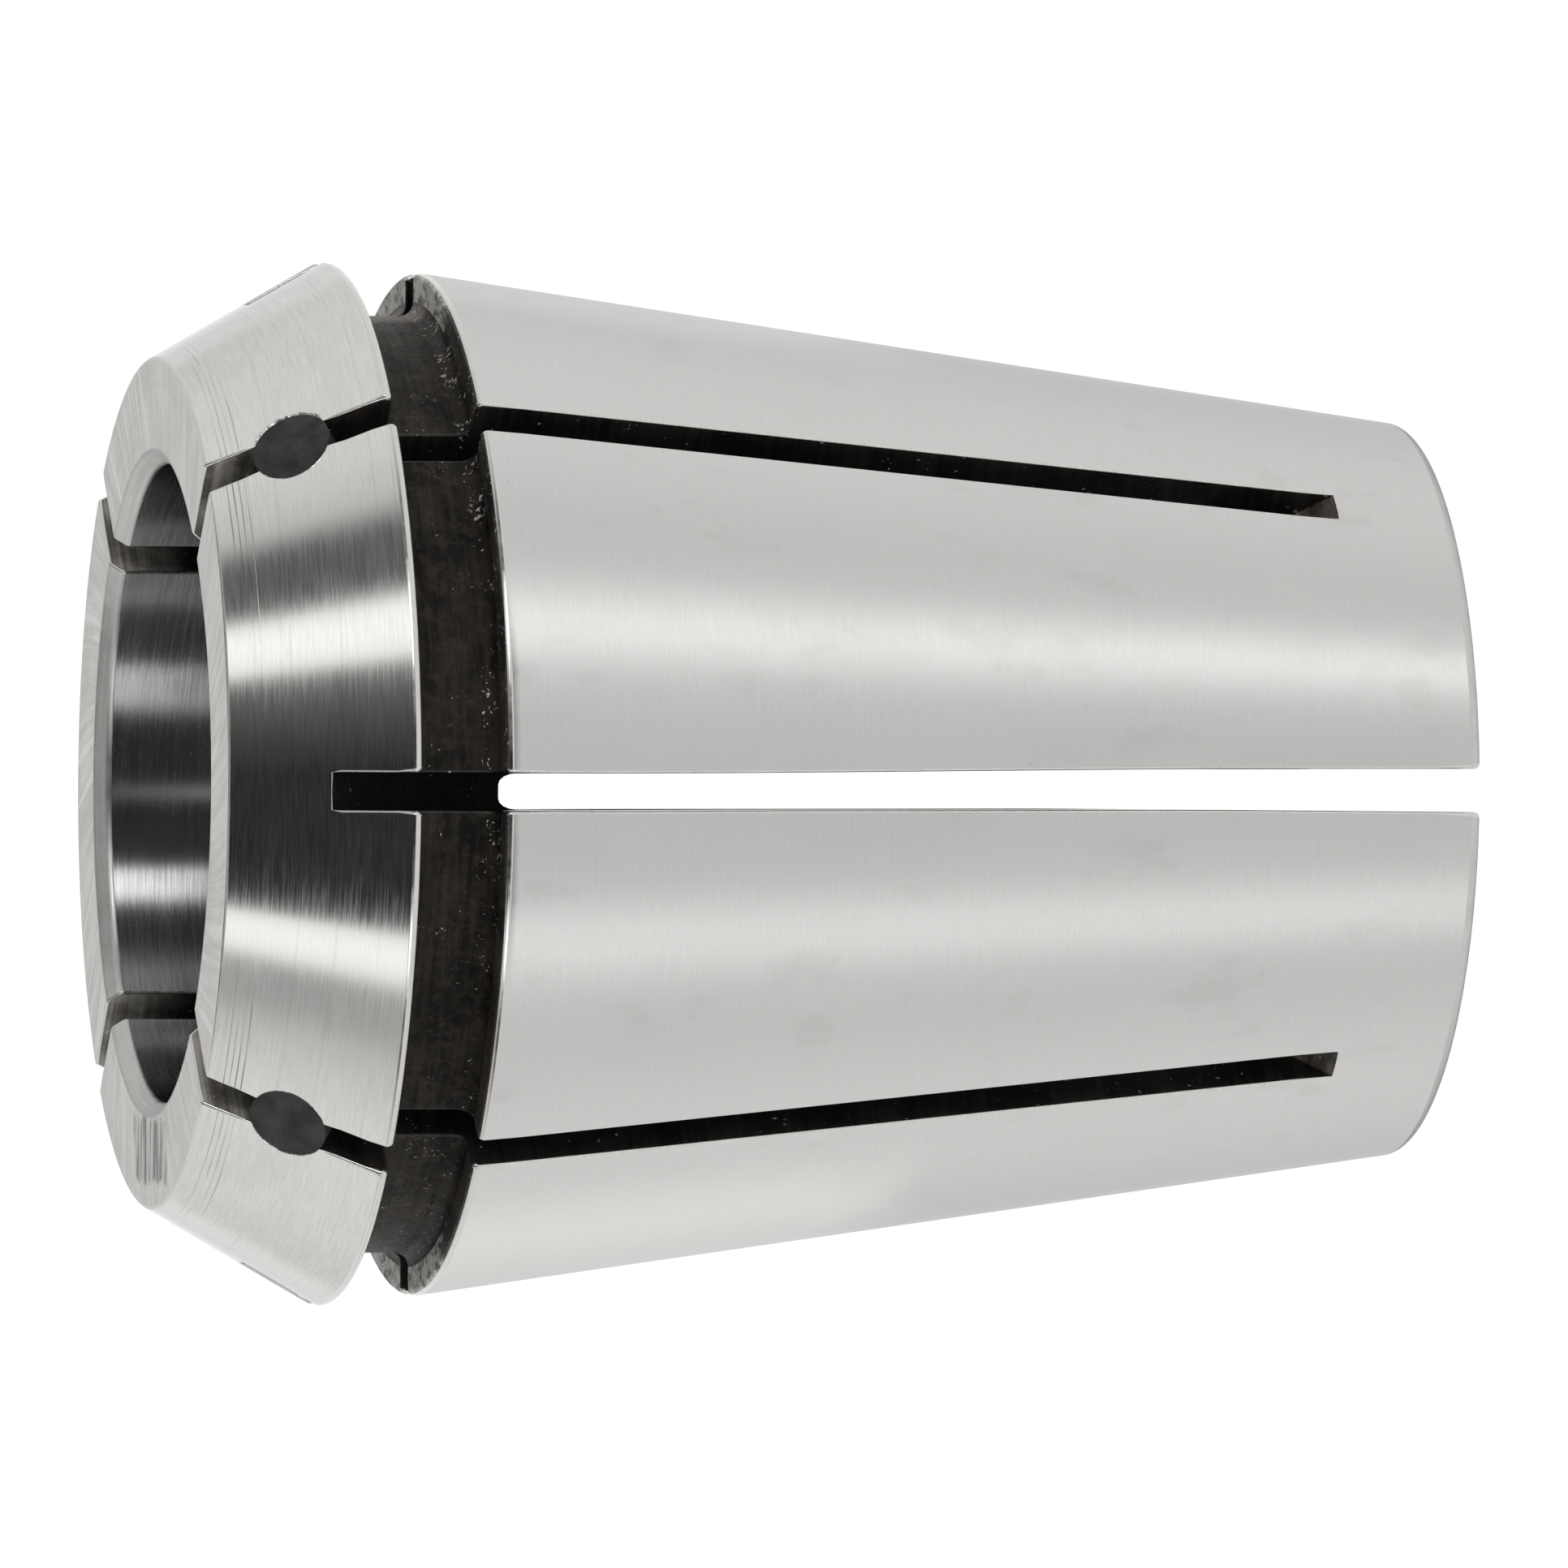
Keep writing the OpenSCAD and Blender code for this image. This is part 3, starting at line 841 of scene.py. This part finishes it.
def face_steel(name):
    g = Graph(name)
    # marks of a cup wheel: nearly radial, a little swept
    sweep = g.m("MULTIPLY", g.r, SWEEP)
    qx = g.m("SUBTRACT", g.m("MULTIPLY", g.ux, g.m("COSINE", sweep)), g.m("MULTIPLY", g.uy, g.m("SINE", sweep)))
    qy = g.m("ADD", g.m("MULTIPLY", g.ux, g.m("SINE", sweep)), g.m("MULTIPLY", g.uy, g.m("COSINE", sweep)))
    marks = g.noise(g.vec(g.m("MULTIPLY", qx, 42.0), g.m("MULTIPLY", qy, 42.0), g.m("MULTIPLY", g.r, 0.22)), 1.0, 3.0, 0.65)
    rings = g.around(2.0, 6.0, 5.0, 0.0, 3.0, 0.6, flat=True)
    cloud = g.noise(g.p, 0.45, 3.0, 0.5)
    fac = g.fit(g.m("ADD", g.m("MULTIPLY", marks, 0.65), g.m("ADD", g.m("MULTIPLY", rings, 0.15), g.m("MULTIPLY", cloud, 0.2))), 0.38, 0.62, 0.0, 1.0)
    col = g.mix(fac, (0.475, 0.47, 0.45), (0.665, 0.66, 0.64))
    # a patch of dark scratches on one lobe, and a few long bright ones
    px, py = g.m("MULTIPLY", g.m("ADD", g.x, 11.5), 0.92), g.m("MULTIPLY", g.m("ADD", g.y, 0.2), 0.33)
    spot = g.m("MAXIMUM", g.m("ABSOLUTE", px), g.m("ABSOLUTE", py))
    wire = g.noise(g.vec(g.m("MULTIPLY", g.x, 0.22), g.m("MULTIPLY", g.y, 2.7), 3.0), 1.0, 2.0, 0.6)
    frayed = g.noise(g.vec(g.m("MULTIPLY", g.x, 0.3), g.m("MULTIPLY", g.y, 1.6), 8.0), 1.0, 1.0, 0.5)
    chafe = g.m("MULTIPLY", g.fit(g.m("ADD", spot, g.m("MULTIPLY", frayed, 0.9)), 1.22, 1.46, 1.0, 0.0), g.fit(wire, 0.42, 0.54, 0.12, 1.0))
    col = g.mix(g.m("MULTIPLY", chafe, 0.86), col, (0.10, 0.098, 0.094))
    pale = g.fit(g.noise(g.vec(g.m("MULTIPLY", qx, 24.0), g.m("MULTIPLY", qy, 24.0), g.m("MULTIPLY_ADD", g.r, 0.15, 7.0)), 1.0, 0.0, 0.5), 0.70, 0.76, 0.0, 1.0)
    col = g.mix(g.m("MULTIPLY", pale, 0.6), col, (0.74, 0.735, 0.72))
    return g.set(color=col, metal=1.0, rough=g.fit(marks, 0.35, 0.65, 0.40, 0.50), normal=g.bump(marks, 0.8e-6))


SWEEP = -0.031


def edge_steel(name, lo, hi, rough=0.22, tint=1.0):
    g = Graph(name)
    n = g.around(3.0, 14.0, 7.0, 0.0, 2.0, 0.6)
    blot = g.noise(g.p, 1.6, 3.0, 0.6)
    col = g.mix(g.fit(g.m("ADD", g.m("MULTIPLY", n, 0.5), g.m("MULTIPLY", blot, 0.5)), 0.36, 0.64, 0.0, 1.0), lo, hi)
    return g.set(color=col, metal=1.0, rough=g.fit(blot, 0.3, 0.7, rough - 0.05, rough + 0.05), normal=g.bump(blot, 2e-6), tint=(tint, tint, tint))


def black_scale(name, lo, hi, specks=1.0, spec=0.15, worn_and_sheen=None, front=None, top=False, tiny=0.0, shine=0.0):
    g = Graph(name)
    streak = g.around(5.0, 4.5, 2.0, 0.0, 4.0, 0.62)
    cloud = g.noise(g.p, 0.6, 4.0, 0.6)
    f = g.fit(g.m("ADD", g.m("MULTIPLY", streak, 0.5), g.m("MULTIPLY", cloud, 0.5)), 0.38, 0.64, 0.0, 1.0)
    col = g.mix(f, lo, hi)
    if top or worn_and_sheen is not None:
        grime = g.fit(g.noise(g.p, 2.6, 5.0, 0.7), 0.48, 0.62, 0.0, 0.36)
        col = g.mix(grime, col, (0.050, 0.039, 0.030))
    grain = g.noise(g.p, 14.0, 2.0, 0.6)
    ro = g.fit(grain, 0.3, 0.7, 0.42 - shine, 0.66 - shine)
    if front is not None:
        # the long walls of the rear slots are smoother than the rest
        sleek = g.fit(g.m("MAXIMUM", g.m("ABSOLUTE", g.ux), g.m("ABSOLUTE", g.uy)), 0.975, 0.992, 0.0, 1.0)
        sleek = g.m("MULTIPLY", sleek, g.fit(g.z, 31.0, 34.0, 1.0, 0.0))
        ro = g.m("ADD", g.m("MULTIPLY", ro, g.m("SUBTRACT", 1.0, sleek)), g.m("MULTIPLY", sleek, 0.09))
        grain = g.m("MULTIPLY_ADD", g.m("SUBTRACT", grain, 0.5), g.m("SUBTRACT", 1.0, sleek), 0.5)
        # inside a slot the walls are lighter towards the front face
        near = g.fit(g.m("ADD", g.z, g.m("MULTIPLY", cloud, 2.0)), 38.2, 41.1, 0.0, 1.0)
        col = g.mix(near, col, g.mix(f, (0.13, 0.12, 0.108), front))
    if worn_and_sheen is not None:
        # grey streaks rubbed through the scale, halfway between the rear slots' corners: partly real wear, partly a
        # painted grazing reflection
        blot = g.noise(g.vec(g.m("MULTIPLY", g.x, 1.9), g.m("MULTIPLY", g.y, 0.9), g.z), 1.0, 5.0, 0.7, 0.6)
        blot = g.m("ADD", g.m("MULTIPLY", blot, 0.55), g.m("MULTIPLY", g.noise(g.p, 4.6, 4.0, 0.7), 0.45))
        patch = g.fit(blot, 0.40, 0.55, 0.12, 1.0)
        side = g.fit(g.m("ADD", g.m("ABSOLUTE", g.ux), g.m("MULTIPLY", g.m("SUBTRACT", blot, 0.5), 0.25)), 0.905, 0.965, 0.0, 1.0)
        col = g.mix(g.m("MULTIPLY", patch, side), col, worn_and_sheen)
        spec = g.fit(blot, 0.40, 0.58, spec, 0.62)
    if top:
        # the scale is thinner along the +X side and painted lighter there: partly thinner scale, partly a painted
        # grazing sheen
        top_sheen = g.fit(g.m("ADD", g.ux, g.m("MULTIPLY", g.m("SUBTRACT", cloud, 0.5), 0.02)), 0.976, 0.990, 0.0, 1.0)
        col = g.mix(top_sheen, col, (0.13, 0.118, 0.108))
    if specks:
        # loose bright grains, most of them in the rear corner of the groove
        warp, warp2 = g.noise(g.p, 3.0, 2.0, 0.6), g.noise(g.p, 5.0, 2.0, 0.6)
        off = g.t.nodes.new("ShaderNodeVectorMath")
        off.operation = "ADD"
        g.put(off.inputs[0], g.p)
        g.put(off.inputs[1], g.vec(g.m("MULTIPLY", warp, 0.55), g.m("MULTIPLY", grain, 0.16), g.m("MULTIPLY", warp2, 0.5)))
        clump = g.m("MULTIPLY", g.fit(g.noise(g.p, 1.1, 2.0, 0.5), 0.42, 0.60, 0.25, 1.0), g.fit(g.x, -11.0, 4.0, 0.42, 1.0))
        for scale, base, corner in ((1.9, 0.09, 0.17), (3.6, 0.12, 0.27), (6.2, 0.12, 0.26)) + (((2.6, tiny, 0.0),) if tiny else ()):
            dots = g.t.nodes.new("ShaderNodeTexVoronoi")
            dots.inputs["Scale"].default_value = scale
            g.put(dots.inputs["Vector"], off.outputs[0])
            size = g.fit(g.noise(g.p, 0.8, 2.0, 0.5), 0.5, 0.68, 0.0, base * specks) if corner else g.fit(g.noise(g.p, 1.7, 2.0, 0.5), 0.40, 0.62, 0.0, base)
            at_corner = g.m("MULTIPLY", g.fit(g.m("ABSOLUTE", g.m("SUBTRACT", g.z, Z_TAPER + 0.16)), 0.10, 0.62, corner * specks, 0.0), clump)
            on = g.m("LESS_THAN", dots.outputs["Distance"], g.m("MAXIMUM", size, at_corner))
            col = g.mix(g.m("MULTIPLY", on, g.fit(grain, 0.4, 0.6, 0.25, 1.0)), col, (0.60, 0.58, 0.54))
    return g.set(color=col, metal=0.0, rough=ro, spec=spec, normal=g.bump(grain, 6e-6))


def rubber(name):
    g = Graph(name)
    grain = g.noise(g.p, 11.0, 4.0, 0.62)
    cloud = g.noise(g.p, 1.1, 2.0, 0.5)
    f = g.fit(g.m("ADD", g.m("MULTIPLY", grain, 0.45), g.m("MULTIPLY", cloud, 0.55)), 0.36, 0.64, 0.0, 1.0)
    col = g.mix(f, (0.014, 0.0145, 0.0142), (0.046, 0.0465, 0.046))
    return g.set(color=col, metal=0.0, rough=g.fit(grain, 0.3, 0.7, 0.6, 0.8), spec=0.24, normal=g.bump(grain, 2.2e-5))


made = {
    "taper": ground_steel("steel_ground_taper", 0.355, 0.015, 0.91, fine=26.0, turns=20.0, lo=(0.555, 0.549, 0.539), hi=(0.60, 0.594, 0.584), wear_and_painted_light="nicks_and_painted_light", tint=0.72, broad=0.25, depth=0.2e-6),
    "cone": ground_steel("steel_ground_cone", 0.155, 0.028, 0.72, fine=31.0, turns=13.0, lo=(0.545, 0.54, 0.525), hi=(0.642, 0.637, 0.617), wear_and_painted_light="nut", tint=0.8, broad=0.14, depth=0.25e-6),
    "face": face_steel("steel_ground_face"),
    "bore": ground_steel("steel_honed_bore", 0.25, 0.022, 1.0, slope=0.05, fine=22.0, turns=6.0, lo=(0.595, 0.597, 0.60), hi=(0.74, 0.74, 0.74), wear_and_painted_light="bore", tint=0.3, broad=0.3, depth=0.12e-6),
    "edge": edge_steel("steel_rounded_edge", (0.50, 0.495, 0.48), (0.58, 0.575, 0.56), 0.30),
    "rim": edge_steel("steel_rounded_rim", (0.49, 0.485, 0.47), (0.55, 0.545, 0.53), 0.22),
    "groove": black_scale("hardening_scale_groove", (0.0055, 0.0056, 0.0053), (0.030, 0.0255, 0.0205), 1.0, 0.07, top=True),
    "shoulder": black_scale("hardening_scale_shoulder", (0.006, 0.006, 0.006), (0.05, 0.042, 0.034), 0.8, 0.2, worn_and_sheen=(0.56, 0.545, 0.505)),
    "slot": black_scale("hardening_scale_slot", (0.004, 0.0045, 0.0045), (0.022, 0.0185, 0.0155), 0.7, 0.36, front=(0.50, 0.475, 0.43), tiny=0.13, shine=0.10),
    "runout": black_scale("hardening_scale_saw_end", (0.012, 0.011, 0.009), (0.10, 0.085, 0.065), 0.5, 0.3, tiny=0.15),
    # painted shade: the cut bottoms of the rear slots are painted nearly black, darker than the slot walls
    "pit": black_scale("hardening_scale_deep_painted_shade", (0.0016, 0.0016, 0.0016), (0.008, 0.007, 0.006), 0.4, 0.06, tiny=0.08),
    "heel": edge_steel("steel_rear_rounding", (0.45, 0.445, 0.435), (0.51, 0.505, 0.495), 0.34, 0.45),
    "chamfer": edge_steel("steel_chamfer", (0.45, 0.445, 0.43), (0.55, 0.545, 0.53), 0.40, 0.7),
}
for k in MATS:
    body.data.materials.append(made[k])
rub = rubber("plug_rubber_grain")
for ob in plugs:
    ob.data.materials.append(rub)
for name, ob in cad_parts.items():
    fill = rub if name.startswith("seal_plug") else made["taper"]
    if not ob.data.materials:
        ob.data.materials.append(fill)
    for slot in ob.material_slots:
        slot.material = fill

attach(body, "root")
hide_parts("collet_body")
for k, ob in enumerate(plugs):
    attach(ob, "root")
    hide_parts("seal_plug_%d" % (k + 1))

# ---------------------------------------------------------- floor and light
me = bpy.data.meshes.new("floor")
E = 5.0
me.from_pydata([(-E, -E, 0), (E, -E, 0), (E, E, 0), (-E, E, 0)], [], [(0, 1, 2, 3)])
floor = bpy.data.objects.new("floor", me)
S.collection.objects.link(floor)
fm = bpy.data.materials.new("floor_white")
fm.use_nodes = True
ft = fm.node_tree
fb = ft.nodes["Principled BSDF"]
fb.inputs["Base Color"].default_value = (0.10, 0.10, 0.10, 1)
fb.inputs["Roughness"].default_value = 0.9
fb.inputs["Specular IOR Level"].default_value = 0.0
fb.inputs["Emission Color"].default_value = (1.0, 0.998, 0.993, 1)
fb.inputs["Emission Strength"].default_value = 1.03
me.materials.append(fm)

W = bpy.data.worlds.new("studio")
S.world = W
W.use_nodes = True
wt = W.node_tree
wt.nodes.clear()


def wn(kind, **props):
    n = wt.nodes.new(kind)
    for k, v in props.items():
        setattr(n, k, v)
    return n


def wm(op, a, b=None, clamp=False):
    n = wn("ShaderNodeMath", operation=op, use_clamp=clamp)
    for i, v in enumerate((a, b)):
        if v is None:
            continue
        if isinstance(v, bpy.types.NodeSocket):
            wt.links.new(v, n.inputs[i])
        else:
            n.inputs[i].default_value = v
    return n.outputs[0]


def ramp(fac, stops, top):
    n = wn("ShaderNodeValToRGB")
    n.color_ramp.interpolation = "EASE"
    e = n.color_ramp.elements
    while len(e) > 1:
        e.remove(e[-1])
    for i, (at, val) in enumerate(stops):
        el = e[0] if i == 0 else e.new(at)
        el.position = at
        v = val if isinstance(val, tuple) else (val, val, val)
        el.color = (*(c / top for c in v), 1.0)
    wt.links.new(fac, n.inputs[0])
    return n.outputs[0]


tc = wn("ShaderNodeTexCoord")
sp = wn("ShaderNodeSeparateXYZ")
wt.links.new(tc.outputs["Generated"], sp.inputs[0])
dx, dy, dz = sp.outputs
az = wm("ARCTAN2", dx, wm("MULTIPLY", dy, -1.0))
fac_az = wm("ADD", wm("MULTIPLY", az, 0.5 / math.pi), 0.5)
fac_el = wm("ADD", wm("MULTIPLY", wm("ARCSINE", dz), 1.0 / math.pi), 0.5)
TOP = 8.5


def at_az(deg):
    return 0.5 + deg / 360.0


FLAG = (0.018, 0.0195, 0.022)
# a dark flag behind the camera, a tall soft strip on each side of it, and a
# pale surround; each band of heights has its own strengths
TOPS = [(-180, 0.06), (-115, 0.06), (-95, 0.40), (-60, 0.55), (-50, 1.2), (-42, 1.2), (-36, 0.06), (36, 0.06), (42, 1.2), (50, 1.2),
        (60, 0.20), (80, 0.50), (95, 0.40), (115, 0.06), (180, 0.06)]
HIGH = [(-180, 1.12), (-100, 1.12), (-88, 1.0), (-76, 0.84), (-66, 0.57), (-57, 0.53), (-51, 1.58), (-41, 1.58), (-38.8, 0.08), (-31, FLAG),
        (5, FLAG), (12, 0.06), (20, 0.11), (27, 0.17), (33.2, 0.28), (36.2, 1.56), (49, 1.56), (54, 0.15), (69, 0.15), (78, 0.85), (92, 0.95), (180, 0.95)]
MID = [(-180, 0.86), (-150, 0.98), (-125, 1.04), (-95, 1.02), (-78, 0.80), (-70, 0.35), (-65, 0.08), (-46, 0.06), (-41, 3.3), (-30, 3.3), (-26, 0.06), (-22, FLAG),
       (26, FLAG), (29, 0.06), (33, 7.6), (41, 7.6), (46, 0.06), (61, 0.06), (68, 0.30), (78, 0.82), (92, 1.00), (140, 0.98), (180, 0.86)]
LOW = [(-180, 0.92), (-150, 1.25), (-125, 1.50), (-95, 1.42), (-80, 0.88), (-74, 0.70), (-66, 0.30), (-52, 0.15), (-45, 0.10), (-41, 3.3), (-31, 3.3), (-27, 0.06), (-22, FLAG),
       (25, FLAG), (29, 0.06), (33, 1.6), (42, 1.6), (47, 0.08), (60, 0.15), (68, 0.45), (78, 0.90), (92, 1.25), (140, 1.20), (180, 0.92)]
bands = [ramp(fac_az, [(at_az(a), v) for a, v in stops], TOP) for stops in (LOW, MID, HIGH, TOPS)]


def blend(fac, a, b):
    n = wn("ShaderNodeMix", data_type="RGBA")
    wt.links.new(fac, n.inputs["Factor"])
    wt.links.new(a, n.inputs[6])
    wt.links.new(b, n.inputs[7])
    return n.outputs[2]


rise_1 = ramp(fac_el, [(0.0, 0.0), (0.5 + 4.0 / 180, 0.0), (0.5 + 8.0 / 180, 1.0)], 1.0)
rise_2 = ramp(fac_el, [(0.0, 0.0), (0.5 + 25 / 180, 0.0), (0.5 + 37 / 180, 1.0)], 1.0)
rise_3 = ramp(fac_el, [(0.0, 0.0), (0.5 + 46 / 180, 0.0), (0.5 + 58 / 180, 1.0)], 1.0)
rise_4 = ramp(fac_el, [(0.0, 0.0), (0.5 + 66 / 180, 0.0), (0.5 + 78 / 180, 1.0)], 1.0)
crown = ramp(fac_az, [(0.0, 0.62), (1.0, 0.62)], TOP)
around = blend(rise_4, blend(rise_3, blend(rise_2, blend(rise_1, bands[0], bands[1]), bands[2]), bands[3]), crown)
bg = wn("ShaderNodeBackground")
wt.links.new(around, bg.inputs["Color"])
bg.inputs["Strength"].default_value = TOP
plain = wn("ShaderNodeBackground")
plain.inputs["Color"].default_value = (1.0, 1.0, 0.995, 1)
plain.inputs["Strength"].default_value = 1.02
lp = wn("ShaderNodeLightPath")
sw = wn("ShaderNodeMixShader")
wt.links.new(lp.outputs["Is Camera Ray"], sw.inputs[0])
wt.links.new(bg.outputs[0], sw.inputs[1])
wt.links.new(plain.outputs[0], sw.inputs[2])
wo = wn("ShaderNodeOutputWorld")
wt.links.new(sw.outputs[0], wo.inputs["Surface"])

# ------------------------------------------------------------------- camera
PX_PER_MM, DIST = 39.05889, 547.621        # at the part's middle, for 1932 pixels
TH, RHO, ROLL = 0.21384, 0.0048, -0.00254
OFF = Vector((-0.26979, 0.06893, DIST))
u = Vector((math.cos(TH) * math.cos(RHO), math.cos(TH) * math.sin(RHO), math.sin(TH)))
n0 = Vector((math.sin(TH) * math.cos(RHO), math.sin(TH) * math.sin(RHO), -math.cos(TH)))
w0 = Vector((math.sin(RHO), -math.cos(RHO), 0.0))
n1 = math.cos(ROLL) * n0 + math.sin(ROLL) * w0
w1 = math.cos(ROLL) * w0 - math.sin(ROLL) * n0
to_row = Matrix((w1, -n1, -u))             # from the camera's axes (right, down, forward) to the row frame
eye = Vector((0, 0, L / 2)) - to_row @ OFF
axes = [to_row @ Vector(a) for a in ((1, 0, 0), (0, -1, 0), (0, 0, -1))]
cam_data = bpy.data.cameras.new("photo_view")
cam_data.sensor_fit = "HORIZONTAL"
cam_data.sensor_width = 36.0
cam_data.lens = 36.0 * PX_PER_MM * DIST / 1932
cam_data.clip_start, cam_data.clip_end = 0.01, 50.0
cam = bpy.data.objects.new("photo_view", cam_data)
S.collection.objects.link(cam)
cam.matrix_world = Matrix.Translation(eye * 0.001) @ Matrix(axes).transposed().to_4x4()
S.camera = cam
